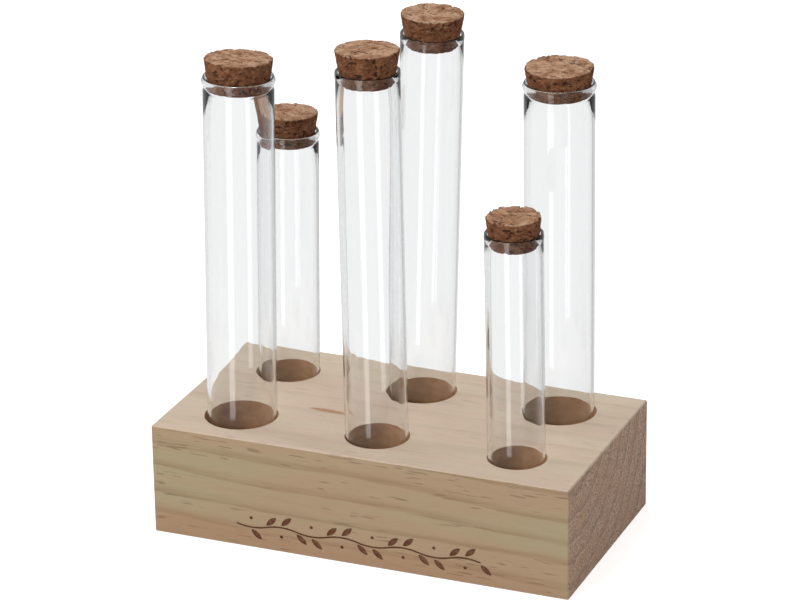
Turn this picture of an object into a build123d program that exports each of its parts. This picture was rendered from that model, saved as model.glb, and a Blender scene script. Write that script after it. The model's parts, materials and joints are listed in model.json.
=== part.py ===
import os
from math import cos, radians, sin, sqrt
from build123d import *

# Test tube vase: a drilled pine block that holds six corked glass tubes.
# Origin at the middle of the block's underside, +X along the block, -Y its front, +Z up.

# Block
block_length = 190.0
block_width = 100.0
block_height = 50.0
edge_ease = 0.5
hole_depth = 40.0
row_pitch = 52.0
end_margin = 31.7              # from the block's end to the nearest hole's centre

# Glass, the same on every tube
tube_wall = 1.2
floor_gap = 0.3                # under the round end
lip_height = 3.0

# Corks, the same on every tube
cork_depth = 5.8               # below the mouth
cork_play = 0.15               # beside the glass at the mouth
cork_edge = 0.6

# Front left, a wide tube with a rolled lip
front_left_diameter = 30.0
front_left_play = 1.0          # round the tube in its hole
front_left_mouth = 203.6       # above the block's underside
front_left_lip = 0.5           # how far the lip stands out
front_left_cork = 29.5         # across the top
front_left_rise = 8.3          # above the mouth
front_left_lean = 1.15         # degrees towards +X
front_left_tilt = -3.2         # degrees, the cork's top towards the front

# Front middle, a long plain tube
front_middle_diameter = 27.0
front_middle_play = 0.5
front_middle_mouth = 212.7
front_middle_lip = 0.15
front_middle_cork = 27.5
front_middle_rise = 9.6
front_middle_lean = -0.5
front_middle_tilt = -0.9

# Front right, the shortest tube
front_right_diameter = 24.5
front_right_play = 0.5
front_right_mouth = 150.3
front_right_lip = 0.15
front_right_cork = 23.7
front_right_rise = 7.9
front_right_lean = -0.6
front_right_tilt = 1.6

# Back left, a short tube with a rolled lip
back_left_diameter = 25.5
back_left_play = 0.7
back_left_mouth = 162.6
back_left_lip = 0.4
back_left_cork = 25.4
back_left_rise = 8.8
back_left_lean = 1.1
back_left_tilt = -1.4

# Back middle, the tallest tube, loose in its hole
back_middle_diameter = 27.0
back_middle_play = 1.4
back_middle_mouth = 213.9
back_middle_lip = 0.15
back_middle_cork = 27.5
back_middle_rise = 9.1
back_middle_lean = 1.9
back_middle_tilt = 0.4

# Back right, a wide tube with a rolled lip
back_right_diameter = 30.0
back_right_play = 1.0
back_right_mouth = 198.7
back_right_lip = 0.5
back_right_cork = 29.8
back_right_rise = 7.3
back_right_lean = -0.15
back_right_tilt = 1.9

# Engraved sprig along the foot of the front face
sprig_length = 112.0
sprig_height = 10.5            # of its middle above the underside
sprig_depth = 0.4
stem_width = 0.8
stem_wave = 1.0
stem_waves = 8
leaf_length = 6.4
leaf_width = 2.5
leaf_angle = 42.0
leaf_gap = 0.5                 # between stem and leaf
berry_radius = 0.75
berry_reach = 3.4

# Engraving cuts run out past the front face by this much
overrun = 1.0

hole_floor = block_height - hole_depth
column_pitch = block_length / 2 - end_margin


def place_of(column, row):
    """Centre of a hole in plan: column -1, 0 or 1 from the left, row -1 in front and 1 behind."""
    return column * column_pitch, row * row_pitch / 2


def tube_plane(column, row, lean):
    """The tube's own frame, leaning about the middle of its hole, with its origin under the round end."""
    x, y = place_of(column, row)
    along = Vector(sin(radians(lean)), 0, cos(radians(lean)))
    across = Vector(cos(radians(lean)), 0, -sin(radians(lean)))
    middle = Vector(x, y, hole_floor + hole_depth / 2)
    foot = middle - along * ((hole_depth / 2 - floor_gap) / cos(radians(lean)))
    return Plane(origin=foot, x_dir=across, z_dir=along)


def section_plane(frame):
    """Upright plane through the frame's axis: local x runs out from the axis, local y up along it."""
    return Plane(origin=frame.origin, x_dir=frame.x_dir, z_dir=frame.x_dir.cross(frame.z_dir))


def tube_length(mouth, lean, frame):
    return (mouth - frame.origin.Z) / cos(radians(lean))


def leaf():
    """A leaf with two curved sides, its foot at the origin and its tip along +X."""
    with BuildSketch() as outline:
        with BuildLine():
            ThreePointArc((0, 0), (leaf_length / 2, leaf_width / 2), (leaf_length, 0))
            ThreePointArc((leaf_length, 0), (leaf_length / 2, -leaf_width / 2), (0, 0))
        make_face()
    return outline.sketch


def sprig():
    """A wavy stem along X with a leaf outside each bend, one between bends and a berry inside."""
    step = sprig_length / stem_waves
    starts = [-sprig_length / 2 + step * index for index in range(stem_waves)]
    blade = leaf()
    with BuildSketch() as engraving:
        with BuildLine():
            for index, start in enumerate(starts):
                bend = stem_wave if index % 2 else -stem_wave
                ThreePointArc((start, 0), (start + step / 2, bend), (start + step, 0))
        trace(line_width=stem_width)
        for index, start in enumerate(starts):
            side = 1 if index % 2 else -1
            foot = stem_width / 2 + leaf_gap
            with Locations((start + step / 2, side * (stem_wave + foot))):
                add(blade, rotation=side * leaf_angle)
            with Locations((start + step, -side * foot)):
                add(blade, rotation=-side * leaf_angle)
            with Locations((start + step / 2, -side * berry_reach)):
                Circle(berry_radius)
    return engraving.sketch


def wood_block(stations):
    engraving = sprig()
    front = Plane(origin=(0, -block_width / 2, sprig_height), x_dir=(1, 0, 0), z_dir=(0, -1, 0))
    with BuildPart() as block:
        with BuildSketch(Plane.XY):
            Rectangle(block_length, block_width)
        extrude(amount=block_height)
        chamfer(block.edges(), edge_ease)
        for column, row, diameter, play in stations:
            x, y = place_of(column, row)
            with Locations((x, y, block_height)):
                Hole(diameter / 2 + play, depth=hole_depth)
        with BuildSketch(front.offset(overrun)):
            add(engraving)
        extrude(amount=-(overrun + sprig_depth), mode=Mode.SUBTRACT)
    block.part.label = "wood_block"
    return block.part


def glass_tube(name, frame, diameter, length, lip):
    radius = diameter / 2
    bore = radius - tube_wall
    shoulder = length - lip_height
    round_share = sqrt(0.5)
    with BuildPart() as tube:
        with BuildSketch(section_plane(frame)):
            with BuildLine():
                ThreePointArc(
                    (0, 0), (radius * round_share, radius * (1 - round_share)), (radius, radius)
                )
                Line((radius, radius), (radius, shoulder))
                ThreePointArc(
                    (radius, shoulder), (radius + lip, shoulder + lip_height / 2), (radius, length)
                )
                ThreePointArc(
                    (radius, length), (radius - tube_wall / 2, length + tube_wall / 4), (bore, length)
                )
                Line((bore, length), (bore, radius))
                ThreePointArc(
                    (bore, radius), (bore * round_share, radius - bore * round_share), (0, tube_wall)
                )
                Line((0, tube_wall), (0, 0))
            make_face()
        revolve(axis=Axis(frame.origin, frame.z_dir))
    tube.part.label = name
    return tube.part


def cork(name, frame, length, diameter, top_diameter, rise, tilt):
    """A tapered cork that fills the mouth and is tilted about the mouth's centre."""
    mouth_radius = diameter / 2 - tube_wall - cork_play
    taper = (top_diameter / 2 - mouth_radius) / rise
    foot_radius = mouth_radius - taper * cork_depth
    up = frame.z_dir.rotate(Axis.X, tilt)
    mouth = frame.origin + frame.z_dir * length
    foot = Plane(origin=mouth - up * cork_depth, x_dir=frame.x_dir, z_dir=up)
    with BuildPart() as stopper:
        with BuildSketch(foot):
            Circle(foot_radius)
        with BuildSketch(foot.offset(cork_depth + rise)):
            Circle(top_diameter / 2)
        loft()
        chamfer(stopper.edges().filter_by(GeomType.CIRCLE), cork_edge)
    stopper.part.label = name
    return stopper.part


# column, row, diameter, play, mouth, lip, cork top, cork rise, lean, tilt
stations = {
    "front_left": (
        -1, -1, front_left_diameter, front_left_play, front_left_mouth, front_left_lip,
        front_left_cork, front_left_rise, front_left_lean, front_left_tilt,
    ),
    "front_middle": (
        0, -1, front_middle_diameter, front_middle_play, front_middle_mouth, front_middle_lip,
        front_middle_cork, front_middle_rise, front_middle_lean, front_middle_tilt,
    ),
    "front_right": (
        1, -1, front_right_diameter, front_right_play, front_right_mouth, front_right_lip,
        front_right_cork, front_right_rise, front_right_lean, front_right_tilt,
    ),
    "back_left": (
        -1, 1, back_left_diameter, back_left_play, back_left_mouth, back_left_lip,
        back_left_cork, back_left_rise, back_left_lean, back_left_tilt,
    ),
    "back_middle": (
        0, 1, back_middle_diameter, back_middle_play, back_middle_mouth, back_middle_lip,
        back_middle_cork, back_middle_rise, back_middle_lean, back_middle_tilt,
    ),
    "back_right": (
        1, 1, back_right_diameter, back_right_play, back_right_mouth, back_right_lip,
        back_right_cork, back_right_rise, back_right_lean, back_right_tilt,
    ),
}

pieces = [wood_block([station[:4] for station in stations.values()])]
for name, station in stations.items():
    column, row, diameter, play, mouth, lip, cork_top, rise, lean, tilt = station
    frame = tube_plane(column, row, lean)
    length = tube_length(mouth, lean, frame)
    pieces.append(glass_tube("glass_tube_" + name, frame, diameter, length, lip))
    pieces.append(cork("cork_" + name, frame, length, diameter, cork_top, rise, tilt))

os.makedirs("parts", exist_ok=True)
for piece in pieces:
    export_step(piece, "parts/" + piece.label + ".step")
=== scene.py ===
import json
import math
import bmesh
import bpy
from mathutils import Matrix, Vector, noise

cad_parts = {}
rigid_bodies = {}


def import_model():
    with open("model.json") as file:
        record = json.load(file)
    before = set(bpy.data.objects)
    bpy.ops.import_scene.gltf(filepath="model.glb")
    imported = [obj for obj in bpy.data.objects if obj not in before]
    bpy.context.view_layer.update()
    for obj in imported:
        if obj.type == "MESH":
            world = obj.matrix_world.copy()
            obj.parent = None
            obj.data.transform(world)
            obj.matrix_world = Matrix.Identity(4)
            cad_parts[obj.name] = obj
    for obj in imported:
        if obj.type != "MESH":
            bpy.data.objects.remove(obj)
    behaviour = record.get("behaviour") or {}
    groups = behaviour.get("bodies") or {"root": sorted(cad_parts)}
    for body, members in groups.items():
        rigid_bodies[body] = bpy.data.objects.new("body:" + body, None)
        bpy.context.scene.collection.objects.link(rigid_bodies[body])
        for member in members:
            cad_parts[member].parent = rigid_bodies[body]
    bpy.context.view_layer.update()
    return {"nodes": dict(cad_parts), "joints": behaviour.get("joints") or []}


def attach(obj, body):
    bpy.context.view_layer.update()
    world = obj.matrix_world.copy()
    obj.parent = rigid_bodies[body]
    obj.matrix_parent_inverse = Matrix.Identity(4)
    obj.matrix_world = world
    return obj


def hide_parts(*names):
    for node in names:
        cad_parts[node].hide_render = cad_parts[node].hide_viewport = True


# Test tube vase: a pine block with six corked glass tubes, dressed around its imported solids
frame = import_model()
mm = 0.001
tiny = 1e-9
stations = ["front_left", "front_middle", "front_right", "back_left", "back_middle", "back_right"]


# Shader maths as plain Python: a wrapped socket adds its Math nodes when it is used in a sum
class Sock:
    def __init__(self, tree, socket):
        self.tree = tree
        self.socket = socket

    def math(self, operation, *others):
        node = self.tree.nodes.new("ShaderNodeMath")
        node.operation = operation
        for place, value in zip(node.inputs, (self,) + others):
            plug(self.tree, place, value)
        return Sock(self.tree, node.outputs[0])

    def __add__(self, other):
        return self.math("ADD", other)

    def __sub__(self, other):
        return self.math("SUBTRACT", other)

    def __rsub__(self, other):
        return (self * -1) + other

    def __mul__(self, other):
        return self.math("MULTIPLY", other)

    def __truediv__(self, other):
        return self.math("DIVIDE", other)

    def __gt__(self, other):
        return self.math("GREATER_THAN", other)

    def __lt__(self, other):
        return self.math("LESS_THAN", other)

    def __abs__(self):
        return self.math("ABSOLUTE")

    __radd__ = __add__
    __rmul__ = __mul__

    def root(self):
        return self.math("SQRT")

    def ramp(self, low, high, start=0.0, end=1.0):    # smooth step from low to high
        node = self.tree.nodes.new("ShaderNodeMapRange")
        node.interpolation_type = "SMOOTHSTEP"
        for place, value in zip(node.inputs, (self, low, high, start, end)):
            plug(self.tree, place, value)
        return Sock(self.tree, node.outputs[0])


def plug(tree, place, value):
    if isinstance(value, Sock):
        tree.links.new(value.socket, place)
    elif isinstance(value, (tuple, list)) and len(value) == 3 and len(place.default_value) == 4:
        place.default_value = (*value, 1.0)
    else:
        place.default_value = value


def splitXYZ(tree, vector):
    node = tree.nodes.new("ShaderNodeSeparateXYZ")
    plug(tree, node.inputs[0], vector)
    return [Sock(tree, socket) for socket in node.outputs]


# A colour given as it looks on screen, 0 to 255, as the linear values that a shader takes
def rgb(*levels):
    return tuple(((level / 255 + 0.055) / 1.055) ** 2.4 for level in levels)


# A material with one Principled shader, and a method that adds any node
class Finish:
    def __init__(self, name, **settings):
        self.material = bpy.data.materials.new(name)
        self.material.use_nodes = True
        self.tree = self.material.node_tree
        self.shader = self.tree.nodes["Principled BSDF"]
        self.output = self.tree.nodes["Material Output"]
        for socket, value in settings.items():
            plug(self.tree, self.shader.inputs[socket.replace("_", " ")], value)

    def node(self, kind, settings=None, out=0, **values):
        node = self.tree.nodes.new(kind)
        for setting, value in (settings or {}).items():
            setattr(node, setting, value)
        for socket, value in values.items():
            plug(self.tree, node.inputs[socket.replace("_", " ")], value)
        return Sock(self.tree, node.outputs[out])

    def noise(self, sizes, detail=2.0, roughness=0.5):    # sizes in mm along each axis
        place = self.node("ShaderNodeTexCoord", out="Object")
        stretch = self.tree.nodes.new("ShaderNodeVectorMath")
        stretch.operation = "MULTIPLY"
        plug(self.tree, stretch.inputs[0], place)
        stretch.inputs[1].default_value = [1 / (size * mm) for size in sizes]
        return self.node("ShaderNodeTexNoise", Vector=Sock(self.tree, stretch.outputs[0]), Scale=1.0,
                         Detail=detail, Roughness=roughness)

    def mix(self, factor, first, second):
        node = self.tree.nodes.new("ShaderNodeMix")
        node.data_type = "RGBA"
        for place, value in zip((node.inputs[0], node.inputs[6], node.inputs[7]), (factor, first, second)):
            plug(self.tree, place, value)
        return Sock(self.tree, node.outputs[2])

    def set(self, socket, value):
        plug(self.tree, self.shader.inputs[socket], value)

    def bump(self, height, strength, distance):
        self.set("Normal", self.node("ShaderNodeBump", Height=height, Strength=strength, Distance=distance))


# Pine, lengths in mm in the block's frame
pine = dict(
    pithAcross=-38.0, pithUp=79.0,        # the tree's middle
    slopeUp=0.030, slopeAcross=0.012,     # how the grain runs out of true along the block
    ringSize=10.5, waver=2.6, ringWander=0.35,
    lateStart=0.55, lateEnd=0.93,         # dark share of a ring
    lateShare=0.62, topLateShare=0.20, endLateShare=0.6,
    redStart=66.0, redEnd=77.0, redSlope=0.022, redWander=10.0, redShare=0.5,
    canalShare=0.55, topCanalLess=0.3,
    streakX=-29.5, streakLength=9.5, streakY=-9.5, streakWidth=1.7, streakTurnX=-28.0, streakSlope=0.05,
    streakShare=0.8,
    topLevel=49.0, endLevel=94.0,
    holesEnd=94.2, holesSide=49.0, holesLow=5.0, holesHigh=49.85,
    cutFront=-49.93, cutBack=-49.2, cutLow=3.0, cutHigh=22.0, cutEnd=70.0,
    pale=rgb(181, 164, 131), warm=rgb(185, 157, 127), late=rgb(150, 121, 88), red=rgb(176, 134, 103),
    # top colours: lighter copies of the wood, a painted highlight where light falls on the top face
    topPale=rgb(215, 198, 175), topWarm=rgb(215, 192, 172),
    endGrain=rgb(176, 141, 116), endPale=rgb(206, 182, 162), endDark=rgb(112, 84, 66),
    canal=rgb(118, 94, 66), resin=rgb(176, 122, 82),
    # drilled colours: painted shade inside the holes; burnt: the engraving
    drilled=rgb(190, 142, 103), drilledDark=rgb(150, 104, 70), burnt=rgb(104, 60, 34),
    roughness=0.66, lateGloss=0.12, bumpStrength=0.35, bumpDistance=0.00012,
)


def pineFinish():
    look = Finish("pine", Specular_IOR_Level=0.3)
    place = look.node("ShaderNodeTexCoord", out="Object")
    x, y, z = (part / mm for part in splitXYZ(look.tree, place))
    normal = look.node("ShaderNodeNewGeometry", out="Normal")
    faceX, faceY, faceZ = (abs(part) for part in splitXYZ(look.tree, normal))

    # Growth rings round a pith above the block, wavering along the grain
    waver = (look.noise((90, 26, 26), 2.0) - 0.5) * pine["waver"] * 2
    up = z + x * pine["slopeUp"] - pine["pithUp"]
    across = y + x * pine["slopeAcross"] - pine["pithAcross"]
    radius = (up * up + across * across).root() + waver
    ring = radius / pine["ringSize"] + (look.noise((70, 9, 9), 1.0) - 0.5) * pine["ringWander"]
    phase = ring.math("FRACT")
    late = phase.ramp(pine["lateStart"], pine["lateEnd"]) * phase.ramp(pine["lateEnd"], 1.0, 1.0, 0.0)
    broken = look.noise((34, 5, 1.6), 3.0, 0.6).ramp(0.30, 0.62)
    late = late * (broken * 0.75 + 0.25)

    # Broad colour changes from ring to ring, and a redder zone far from the pith
    drift = look.noise((120, 14, 14), 1.0).ramp(0.36, 0.64)
    wander = (look.noise((60, 9, 9), 2.0) - 0.5) * pine["redWander"]
    zone = (radius - x * pine["redSlope"] + wander).ramp(pine["redStart"], pine["redEnd"])
    fibre = look.noise((16, 0.55, 0.55), 3.0, 0.65)
    side = look.mix(drift, pine["pale"], pine["warm"])
    side = look.mix(late * pine["lateShare"], side, pine["late"])
    side = look.mix(zone * pine["redShare"], side, pine["red"])
    # Painted highlight: the upward face gets lighter copies of the wood colours, because light falls on the
    # top
    top = look.mix(drift, pine["topPale"], pine["topWarm"])
    top = look.mix(late * pine["topLateShare"], top, pine["late"])
    lying = faceZ.ramp(0.45, 0.75)
    colour = look.mix(lying, side, top)

    # Resin canals are short thin dashes along the grain, and one streak of resin lies on the top
    canals = look.noise((9, 0.9, 0.75), 0.0)
    dashes = canals.ramp(0.715, 0.76) * look.noise((40, 9, 5), 0.0).ramp(0.42, 0.60)
    colour = look.mix(dashes * (pine["canalShare"] - lying * pine["topCanalLess"]), colour, pine["canal"])
    along = abs(x - pine["streakX"]) / pine["streakLength"]
    turned = y - pine["streakY"] + (x - pine["streakTurnX"]) * pine["streakSlope"]
    beside = abs(turned) / pine["streakWidth"]
    streak = (along * along + beside * beside + (fibre - 0.5) * 1.4).ramp(0.5, 1.2, 1.0, 0.0)
    colour = look.mix(streak * (z > pine["topLevel"]) * pine["streakShare"], colour, pine["resin"])
    colour = look.mix(fibre.ramp(0.35, 0.75, 0.0, 0.16), colour, pine["late"])

    # Sawn end grain: darker, speckled, with thin pale arcs
    speck = look.noise((0.8, 0.8, 0.8), 2.0, 0.7)
    pores = look.noise((2.2, 1.0, 1.0), 2.0, 0.7)
    arcs = abs(phase - 0.97).ramp(0.0, 0.07, 1.0, 0.0) * look.noise((9, 9, 9), 2.0).ramp(0.35, 0.55)
    sawn = look.mix(speck.ramp(0.42, 0.66), pine["endGrain"], pine["endPale"])
    sawn = look.mix(pores.ramp(0.48, 0.66) * 0.85, sawn, pine["endDark"])
    sawn = look.mix(late * pine["endLateShare"], sawn, pine["endDark"])
    sawn = look.mix(arcs * 0.75, sawn, pine["endPale"])
    sawn = look.mix(drift * 0.25, sawn, pine["red"])
    endFace = faceX.ramp(0.6, 0.85)
    colour = look.mix(endFace * (abs(x) > pine["endLevel"]), colour, sawn)

    # Drilled holes are darker inside, a painted shade for the recess, and the engraving is burnt
    inPlan = (abs(x) < pine["holesEnd"]) * (abs(y) < pine["holesSide"])
    inside = inPlan * (z < pine["holesHigh"]) * (z > pine["holesLow"])
    # patches of deeper painted shade inside the holes
    shadePatches = look.noise((5, 5, 2.5), 3.0).ramp(0.3, 0.7) * 0.5
    colour = look.mix(inside, colour, look.mix(shadePatches, pine["drilled"], pine["drilledDark"]))
    inFront = (y > pine["cutFront"]) * (y < pine["cutBack"])
    engraved = inFront * (z > pine["cutLow"]) * (z < pine["cutHigh"]) * (abs(x) < pine["cutEnd"])
    burn = look.noise((2, 2, 2), 2.0).ramp(0.35, 0.65) * 0.3
    colour = look.mix(engraved, colour, look.mix(burn, pine["burnt"], pine["late"]))
    look.set("Base Color", colour)
    look.set("Roughness", pine["roughness"] - late * pine["lateGloss"])
    look.bump(fibre * 0.5 + late * 0.5 + speck * endFace * 2.0, pine["bumpStrength"], pine["bumpDistance"])
    return look.material


# Glass tubes, lengths in mm
glass = dict(
    wall=1.2, lipHeight=3.0, grooveDepth=0.22, grooveHeight=2.4, rimCrown=0.3,
    rolledFrom=0.3,                       # a lip that stands out this far has a groove below it
    sides=160, roundSteps=20, wallSteps=14, grooveSteps=10, lipSteps=14, rimSteps=10,
    bands=0.035, bandsRound=2.6, bandsUp=3.0, seedStep=7.3,    # faint draw bands in the bore
    colour=(0.985, 0.99, 0.992), refraction=1.47, lampShare=0.99,
    bodyTone=(0.50, 0.53, 0.54), bodyDensity=3.0,
)


def glassFinish():
    look = Finish("clear_glass", Base_Color=glass["colour"], Roughness=0.0, IOR=glass["refraction"],
                  Transmission_Weight=1.0)
    share = glass["lampShare"]
    clear = look.node("ShaderNodeBsdfTransparent", Color=(share, share, share))
    body = look.node("ShaderNodeVolumeAbsorption", Color=glass["bodyTone"], Density=glass["bodyDensity"])
    plug(look.tree, look.output.inputs["Volume"], body)
    mixed = look.tree.nodes.new("ShaderNodeMixShader")
    plug(look.tree, mixed.inputs[0], look.node("ShaderNodeLightPath", out="Is Shadow Ray"))
    look.tree.links.new(look.shader.outputs[0], mixed.inputs[1])
    plug(look.tree, mixed.inputs[2], clear)
    look.tree.links.new(mixed.outputs[0], look.output.inputs["Surface"])
    return look.material


# A tube's own axis, from the joint that it slides along
def axisOf(name):
    joint = next(joint for joint in frame["joints"] if joint["child"] == "tube_" + name)
    return Vector(joint["axis"]).normalized()


# Matrix that stands local +Z along the axis at origin
def placement(origin, axis):
    turn = Vector((0, 0, 1)).rotation_difference(axis).to_matrix().to_4x4()
    return Matrix.Translation(origin) @ turn


# How far up an axis from its foot a point lies, and how far out from it
def upAndOut(point, foot, axis):
    up = (point - foot).dot(axis)
    return up, ((point - foot) - axis * up).length


# Foot, axis, radius, lip and length of a tube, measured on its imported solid
def tubeSizes(name):
    axis = axisOf(name)
    points = [vertex.co.copy() for vertex in frame["nodes"]["glass_tube_" + name].data.vertices]
    foot = min(points, key=lambda point: point.dot(axis))
    local = [upAndOut(point, foot, axis) for point in points]
    length = max(up for up, out in local) - glass["rimCrown"] * mm
    widest = max(out for up, out in local)
    radius = max(out for up, out in local if up < length / 2)
    return foot, axis, radius, widest - radius, length


# Half section of a tube as (out, up) pairs: round end, wall, groove, lip, rim, bore
def tubeProfile(radius, lip, length):
    wall = glass["wall"] * mm
    bore = radius - wall
    lipFoot = length - glass["lipHeight"] * mm
    grooveFoot = lipFoot - glass["grooveHeight"] * mm
    dip = glass["grooveDepth"] * mm if lip > glass["rolledFrom"] * mm else 0.0
    crown = glass["rimCrown"] * mm
    roundSteps, wallSteps, grooveSteps = glass["roundSteps"], glass["wallSteps"], glass["grooveSteps"]
    lipSteps, rimSteps = glass["lipSteps"], glass["rimSteps"]
    quarter = [math.pi / 2 * i / roundSteps for i in range(roundSteps + 1)]
    outline = [(radius * math.sin(a), radius - radius * math.cos(a)) for a in quarter]
    for i in range(1, wallSteps + 1):
        outline.append((radius, radius + (grooveFoot - radius) * i / wallSteps))
    for i in range(1, grooveSteps):
        bend = math.sin(math.pi * i / grooveSteps)
        outline.append((radius - dip * bend, grooveFoot + (lipFoot - grooveFoot) * i / grooveSteps))
    for i in range(lipSteps + 1):
        bend = math.sin(math.pi * i / lipSteps)
        outline.append((radius + lip * bend, lipFoot + (length - lipFoot) * i / lipSteps))
    for i in range(1, rimSteps):
        turn = math.pi * i / rimSteps
        outline.append(((radius + bore) / 2 + wall / 2 * math.cos(turn), length + crown * math.sin(turn)))
    for i in range(wallSteps + 1):
        outline.append((bore, length - (length - radius) * i / wallSteps))
    outline += [(bore * math.sin(a), radius - bore * math.cos(a)) for a in reversed(quarter[:-1])]
    return outline


# A test tube turned from its profile
def makeTube(name, material):
    foot, axis, radius, lip, length = tubeSizes(name)
    bore = radius - glass["wall"] * mm
    sides = glass["sides"]
    seed = stations.index(name) * glass["seedStep"]
    mesh = bmesh.new()
    rings = []
    for out, up in tubeProfile(radius, lip, length):
        if out < tiny:
            rings.append([mesh.verts.new((0, 0, up))])
            continue
        banded = abs(out - bore) < tiny and radius < up < length
        ring = []
        for i in range(sides):
            angle = 2 * math.pi * i / sides
            spot = Vector((math.cos(angle) * glass["bandsRound"] + seed, math.sin(angle) * glass["bandsRound"],
                           up * glass["bandsUp"]))
            swell = abs(noise.noise(spot)) * glass["bands"] * 2 * mm if banded else 0.0
            reach = out - swell
            ring.append(mesh.verts.new((reach * math.cos(angle), reach * math.sin(angle), up)))
        rings.append(ring)
    for low, high in zip(rings, rings[1:]):
        for i in range(sides):
            after = (i + 1) % sides
            if len(low) == 1:
                mesh.faces.new((low[0], high[after], high[i]))
            elif len(high) == 1:
                mesh.faces.new((low[i], low[after], high[0]))
            else:
                mesh.faces.new((low[i], low[after], high[after], high[i]))
    bmesh.ops.recalc_face_normals(mesh, faces=mesh.faces)
    mesh.transform(placement(foot, axis))
    data = bpy.data.meshes.new("tube_" + name)
    mesh.to_mesh(data)
    mesh.free()
    data.shade_smooth()
    data.materials.append(material)
    piece = bpy.data.objects.new("tube_" + name, data)
    bpy.context.scene.collection.objects.link(piece)
    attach(piece, "tube_" + name)
    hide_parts("glass_tube_" + name)


# Corks, grown by one Geometry Nodes tree, lengths in mm
corkForm = dict(
    sides=220, rows=44, capRings=34, edgeRound=0.9, pitDepth=0.7, waviness=0.35,
    edgeShare=0.8, capWave=0.8, chipIn=0.6,
    waveScale=2.2, chipScale=4.5, seedStep=5.7, seedStart=1.0,
    grainStretch=(0.34, 0.75, 0.62), speckScale=1.1, cellScale=0.42,
)
chipping = dict(front_left=0.35, front_middle=0.3, front_right=1.1, back_left=0.3, back_middle=0.3,
                back_right=0.35)
corkColours = dict(
    # top and side: lighter caps and darker sides, partly the cork's own tone and partly painted light falling
    # from above
    top=rgb(196, 158, 128), topWarm=rgb(158, 114, 84), side=rgb(134, 88, 58), sideWarm=rgb(112, 68, 42),
    pit=rgb(62, 36, 22), dust=rgb(214, 182, 152),
)


# Adds Geometry Nodes by type, with settings first and then values or links
class Grower:
    def __init__(self, name, sizes):
        self.tree = bpy.data.node_groups.new(name, "GeometryNodeTree")
        self.tree.interface.new_socket("Geometry", in_out="OUTPUT", socket_type="NodeSocketGeometry")
        self.ids = {}
        for size in sizes:
            socket = self.tree.interface.new_socket(size, in_out="INPUT", socket_type="NodeSocketFloat")
            self.ids[size] = socket.identifier
        self.entry = self.tree.nodes.new("NodeGroupInput")

    def read(self, name):
        return Sock(self.tree, self.entry.outputs[name])

    def node(self, kind, settings=None, inputs=()):
        node = self.tree.nodes.new(kind)
        for setting, value in (settings or {}).items():
            setattr(node, setting, value)
        for place, value in inputs:
            plug(self.tree, node.inputs[place], value)
        return Sock(self.tree, node.outputs[0])

    def noise(self, vector, seed, scale, detail, roughness=0.5):
        return self.node("ShaderNodeTexNoise", {"noise_dimensions": "4D"}, inputs=[
            ("Vector", vector), ("W", seed), ("Scale", scale), ("Detail", detail), ("Roughness", roughness)])

    def store(self, geometry, name, value):
        return self.node("GeometryNodeStoreNamedAttribute", {"data_type": "FLOAT", "domain": "POINT"}, inputs=[
            ("Geometry", geometry), ("Name", name), ("Value", value)])


# How far an edge of the given rounding has fallen away, from 0 to 1 of the way into it
def roundedOff(edge, reach):
    inEdge = reach.math("MAXIMUM", 0.0)
    return edge * (1 - (1 - (inEdge * inEdge).math("MINIMUM", 1.0)).root()) * corkForm["edgeShare"]


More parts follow.
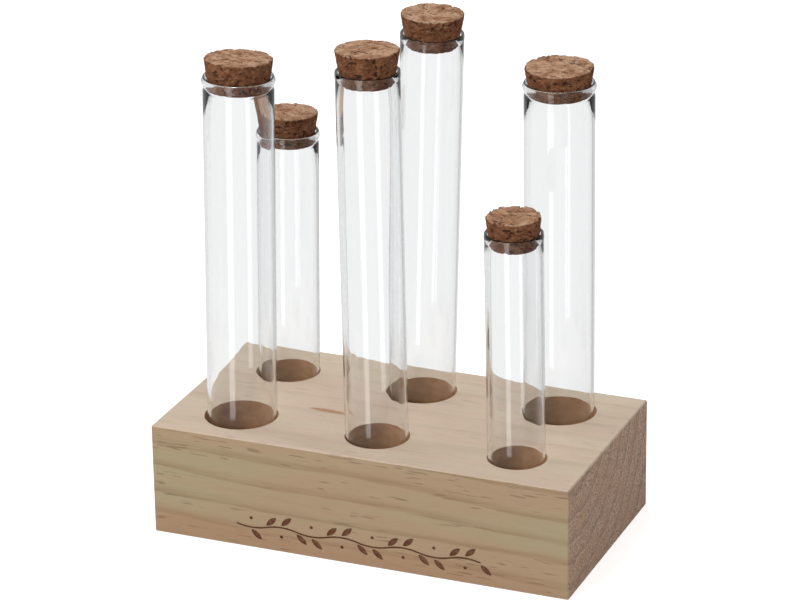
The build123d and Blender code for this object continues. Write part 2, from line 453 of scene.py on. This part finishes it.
def corkTree(material):
    grow = Grower("corkForm", ("Foot Radius", "Top Radius", "Length", "Edge Round", "Pit Depth", "Waviness",
                               "Chipping", "Seed"))
    form = grow.node("GeometryNodeMeshCylinder", {"fill_type": "TRIANGLE_FAN"}, inputs=[
        ("Vertices", corkForm["sides"]), ("Side Segments", corkForm["rows"]),
        ("Fill Segments", corkForm["capRings"]), ("Radius", 1.0), ("Depth", 1.0)])
    place = grow.node("GeometryNodeInputPosition")
    x, y, z = splitXYZ(grow.tree, place)
    height = z + 0.5
    out = (x * x + y * y).root()
    length = grow.read("Length")
    edge = grow.read("Edge Round")
    seed = grow.read("Seed")
    waviness = grow.read("Waviness")
    radius = grow.read("Foot Radius") + (grow.read("Top Radius") - grow.read("Foot Radius")) * height

    # Rounded edges: the caps' last rings drop and the wall's last rows draw in
    isWall = (height > 0.0005) * (height < 0.9995)
    isCap = 1 - isWall
    drop = roundedOff(edge, (out * radius - radius + edge) / edge)
    fromEnd = (0.5 - abs(height - 0.5)) * length
    pull = roundedOff(edge, (edge - fromEnd) / edge)
    wavy = grow.noise(place, seed, corkForm["waveScale"], 2.0)

    # Chips along the top rim
    crumble = grow.noise(place, seed + 9.0, corkForm["chipScale"], 3.0)
    nearRim = out.ramp(0.78, 0.98) * height.ramp(0.84, 0.99)
    chips = crumble.ramp(0.48, 0.62) * nearRim * grow.read("Chipping")
    inward = pull * isWall + edge * corkForm["edgeShare"] * isCap * (out > 0.985)
    inward = inward + wavy * waviness + chips * corkForm["chipIn"]
    span = (radius - inward) / radius
    outside = (height - 0.5).math("SIGN")
    sag = drop * isCap + wavy * waviness * corkForm["capWave"] * isCap
    moved = grow.node("ShaderNodeCombineXYZ", inputs=[
        (0, x * radius * span), (1, y * radius * span), (2, height * length - outside * sag - chips)])
    ends = grow.store(form, "cap", isCap)
    shaped = grow.node("GeometryNodeSetPosition", inputs=[("Geometry", ends), ("Position", moved)])

    # Pits and cracks: grains of two sizes and long thin fissures, sunk along the normal
    where = grow.node("GeometryNodeInputPosition")
    inMm = grow.node("ShaderNodeVectorMath", {"operation": "SCALE"}, inputs=[(0, where), ("Scale", 1 / mm)])
    flat = grow.node("ShaderNodeVectorMath", {"operation": "MULTIPLY"}, inputs=[
        (0, inMm), (1, corkForm["grainStretch"])])
    coarse = grow.noise(flat, seed, 1.0, 3.0, 0.55)
    fine = grow.noise(inMm, seed + 3.0, corkForm["speckScale"], 2.0)
    cells = grow.node("ShaderNodeTexVoronoi", {"feature": "DISTANCE_TO_EDGE", "voronoi_dimensions": "4D"},
                      inputs=[("Vector", inMm), ("W", seed), ("Scale", corkForm["cellScale"])])
    holes = coarse.ramp(0.565, 0.66)
    specks = fine.ramp(0.60, 0.72)
    seams = cells.ramp(0.02, 0.13, 1.0, 0.0) * coarse.ramp(0.44, 0.56)
    pits = (holes + specks * 0.55 + seams * 0.5).math("MINIMUM", 1.0)
    kept = grow.store(shaped, "pit", pits)
    stored = grow.node("GeometryNodeInputNamedAttribute", {"data_type": "FLOAT"}, inputs=[("Name", "pit")])
    sink = grow.node("ShaderNodeVectorMath", {"operation": "SCALE"}, inputs=[
        (0, grow.node("GeometryNodeInputNormal")), ("Scale", stored * grow.read("Pit Depth") * -1)])
    sunk = grow.node("GeometryNodeSetPosition", inputs=[("Geometry", kept), ("Offset", sink)])
    smooth = grow.node("GeometryNodeSetShadeSmooth", inputs=[("Geometry", sunk)])
    real = grow.node("GeometryNodeRealizeInstances", inputs=[("Geometry", smooth)])
    dressed = grow.node("GeometryNodeSetMaterial", inputs=[("Geometry", real), ("Material", material)])
    exitNode = grow.tree.nodes.new("NodeGroupOutput")
    plug(grow.tree, exitNode.inputs[0], dressed)
    return grow


# Foot, axis, length and end radii of a cork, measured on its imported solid
def corkSizes(name):
    data = frame["nodes"]["cork_" + name].data
    axis = Vector((0, 0, 0))
    for face in data.polygons:
        if face.normal.z > 0.99:
            axis += face.normal * face.area
    axis.normalize()
    points = [vertex.co for vertex in data.vertices]
    low = min(point.dot(axis) for point in points)
    length = max(point.dot(axis) for point in points) - low
    ring = [point for point in points if point.dot(axis) < low + 0.01 * mm]
    foot = Vector([(min(p[i] for p in ring) + max(p[i] for p in ring)) / 2 for i in range(3)])
    local = []
    for point in points:
        up, out = upAndOut(point, foot, axis)
        local.append((round(up, 6), out))
    inner = sorted({up for up, out in local if 0.1 * mm < up < length - 0.1 * mm})
    lowWall, highWall = inner[0], inner[-1]      # where the chamfers end
    lowRadius = max(out for up, out in local if up == lowWall)
    highRadius = max(out for up, out in local if up == highWall)
    taper = (highRadius - lowRadius) / (highWall - lowWall)
    return foot, axis, length, lowRadius - taper * lowWall, highRadius + taper * (length - highWall)


def makeCork(name, grow):
    foot, axis, length, footRadius, topRadius = corkSizes(name)
    holder = bpy.data.objects.new("cork_" + name + "_form", bpy.data.meshes.new("blank"))
    bpy.context.scene.collection.objects.link(holder)
    modifier = holder.modifiers.new("corkForm", "NODES")
    modifier.node_group = grow.tree
    sizes = {
        "Foot Radius": footRadius, "Top Radius": topRadius, "Length": length,
        "Edge Round": corkForm["edgeRound"] * mm, "Pit Depth": corkForm["pitDepth"] * mm,
        "Waviness": corkForm["waviness"] * mm, "Chipping": chipping[name] * mm,
        "Seed": stations.index(name) * corkForm["seedStep"] + corkForm["seedStart"],
    }
    for label, value in sizes.items():
        modifier[grow.ids[label]] = value
    bpy.context.view_layer.update()
    grown = holder.evaluated_get(bpy.context.evaluated_depsgraph_get())
    data = bpy.data.meshes.new_from_object(grown)
    bpy.data.objects.remove(holder)
    data.transform(placement(foot, axis))
    data.name = "stopper_" + name
    piece = bpy.data.objects.new("stopper_" + name, data)
    bpy.context.scene.collection.objects.link(piece)
    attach(piece, "cork_" + name)
    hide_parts("cork_" + name)


def corkFinish():
    look = Finish("cork", Roughness=0.85, Specular_IOR_Level=0.2)
    pit = look.node("ShaderNodeAttribute", {"attribute_name": "pit"}, out="Fac")
    cap = look.node("ShaderNodeAttribute", {"attribute_name": "cap"}, out="Fac")
    grain = look.noise((1.6, 1.6, 0.9), 3.0, 0.65)
    patch = look.noise((5, 5, 4), 2.0).ramp(0.35, 0.65)
    # Partly painted light: the caps take a lighter colour and the sides a darker one, part the cork's own tone
    # and part light falling from above
    top = look.mix(patch, corkColours["top"], corkColours["topWarm"])
    side = look.mix(patch, corkColours["side"], corkColours["sideWarm"])
    colour = look.mix(cap, side, top)
    colour = look.mix(grain.ramp(0.50, 0.74) * (cap * 0.35 + 0.3), colour, corkColours["dust"])
    colour = look.mix(grain.ramp(0.48, 0.30) * 0.6, colour, corkColours["sideWarm"])
    colour = look.mix(pit.ramp(0.10, 0.85) * 0.85, colour, corkColours["pit"])
    look.set("Base Color", colour)
    look.bump(grain, 0.8, 0.0005)
    return look.material


# Stage: a pale floor, lengths in metres
stageLook = dict(floorHalf=3.0, floorTone=0.80, floorGlow=0.62, floorRoughness=0.9)


def makeStage():
    bpy.ops.mesh.primitive_plane_add(size=stageLook["floorHalf"] * 2, location=(0, 0, 0))
    floor = bpy.context.object
    floor.name = "floor"
    tone, glow = stageLook["floorTone"], stageLook["floorGlow"]
    look = Finish("pale_floor", Base_Color=(tone, tone, tone), Roughness=stageLook["floorRoughness"],
                  Specular_IOR_Level=0.0, Emission_Strength=1.0)
    seen = look.node("ShaderNodeLightPath", out="Is Camera Ray")
    look.set("Emission Color", look.mix(seen, (0.0, 0.0, 0.0), (glow, glow, glow)))
    floor.data.materials.append(look.material)
    floor.visible_glossy = False          # glass mirrors and shows the surround instead
    floor.visible_transmission = False


# Surround: white where it is seen straight or through glass, dimmer with one bright window in reflections
surround = dict(
    ambient=0.62, mirror=0.44, backdrop=0.84, sideShade=0.34, window=2.3,
    backdropAzimuth=202.6, windowAzimuth=-9.0, windowWidth=16.0, windowSoft=3.0,    # degrees
)


# How nearly a direction, taken level, points to the azimuth: 1 there and -1 away from it
def towards(x, y, azimuth):
    return (x * math.sin(azimuth) - y * math.cos(azimuth)) / (x * x + y * y).root()


def makeWorld():
    world = bpy.data.worlds.new("studio")
    bpy.context.scene.world = world
    world.use_nodes = True
    tree = world.node_tree
    back = tree.nodes["Background"]
    path = tree.nodes.new("ShaderNodeLightPath")
    place = tree.nodes.new("ShaderNodeTexCoord")
    x, y = splitXYZ(tree, Sock(tree, place.outputs["Generated"]))[:2]
    half, soft = math.radians(surround["windowWidth"] / 2), math.radians(surround["windowSoft"])
    near = towards(x, y, math.radians(surround["windowAzimuth"]))
    window = near.ramp(math.cos(half + soft), math.cos(half))
    behind = math.radians(surround["backdropAzimuth"])
    away = towards(x, y, behind).ramp(-0.6, 0.7, surround["mirror"], surround["backdrop"])
    side = towards(x, y, behind - math.pi / 2).ramp(0.2, 0.8)
    mirror = away + window * surround["window"] - side * surround["sideShade"]
    reflected = Sock(tree, path.outputs["Glossy Depth"]) > 0.5
    lit = Sock(tree, path.outputs["Diffuse Depth"]) > 0.5
    seen = mirror * reflected + (1 - reflected)
    plug(tree, back.inputs["Color"], (1.0, 1.0, 1.0))
    plug(tree, back.inputs["Strength"], seen * (1 - lit) + lit * surround["ambient"])


# Lamp: angles in degrees, sizes in metres
keyLamp = dict(azimuth=-32, elevation=52, distance=1.5, width=0.9, height=0.9, power=9.0, aimUp=0.11)


# Unit vector towards a place at the given azimuth and elevation
def sight(azimuth, elevation):
    turn, rise = math.radians(azimuth), math.radians(elevation)
    return Vector((math.sin(turn) * math.cos(rise), -math.cos(turn) * math.cos(rise), math.sin(rise)))


def makeLamp():
    light = bpy.data.lights.new("keyLamp", "AREA")
    light.shape = "RECTANGLE"
    light.size = keyLamp["width"]
    light.size_y = keyLamp["height"]
    light.energy = keyLamp["power"]
    holder = bpy.data.objects.new("keyLamp", light)
    toLamp = sight(keyLamp["azimuth"], keyLamp["elevation"])
    holder.location = Vector((0, 0, keyLamp["aimUp"])) + toLamp * keyLamp["distance"]
    holder.rotation_euler = toLamp.to_track_quat("Z", "Y").to_euler()
    bpy.context.scene.collection.objects.link(holder)


# Camera at the photograph's angle
shot = dict(azimuth=22.57, elevation=22.03, roll=-0.84, distance=1.5737, aimX=0.0005, aimZ=0.10225,
            lens=166.6, sensor=36, farEnd=20)


def makeCamera():
    back = sight(shot["azimuth"], shot["elevation"])
    roll = math.radians(shot["roll"])
    right = (-back).cross(Vector((0, 0, 1))).normalized()
    up = back.cross(right)
    rolledRight = right * math.cos(roll) + up * math.sin(roll)
    rolledUp = up * math.cos(roll) - right * math.sin(roll)
    camera = bpy.data.objects.new("camera", bpy.data.cameras.new("camera"))
    camera.data.lens = shot["lens"]
    camera.data.sensor_width = shot["sensor"]
    camera.data.clip_end = shot["farEnd"]
    place = Matrix((rolledRight, rolledUp, back)).transposed().to_4x4()
    place.translation = Vector((shot["aimX"], 0, shot["aimZ"])) + back * shot["distance"]
    camera.matrix_world = place
    bpy.context.scene.collection.objects.link(camera)
    bpy.context.scene.camera = camera


print("block")
block = frame["nodes"]["wood_block"]
block.data.materials.clear()
block.data.materials.append(pineFinish())

print("glass and corks")
glassMaterial = glassFinish()
corkGrower = corkTree(corkFinish())
for name in stations:
    makeTube(name, glassMaterial)
    makeCork(name, corkGrower)

print("stage, lamp and camera")
makeStage()
makeWorld()
makeLamp()
makeCamera()
bpy.context.scene.view_settings.view_transform = "Standard"
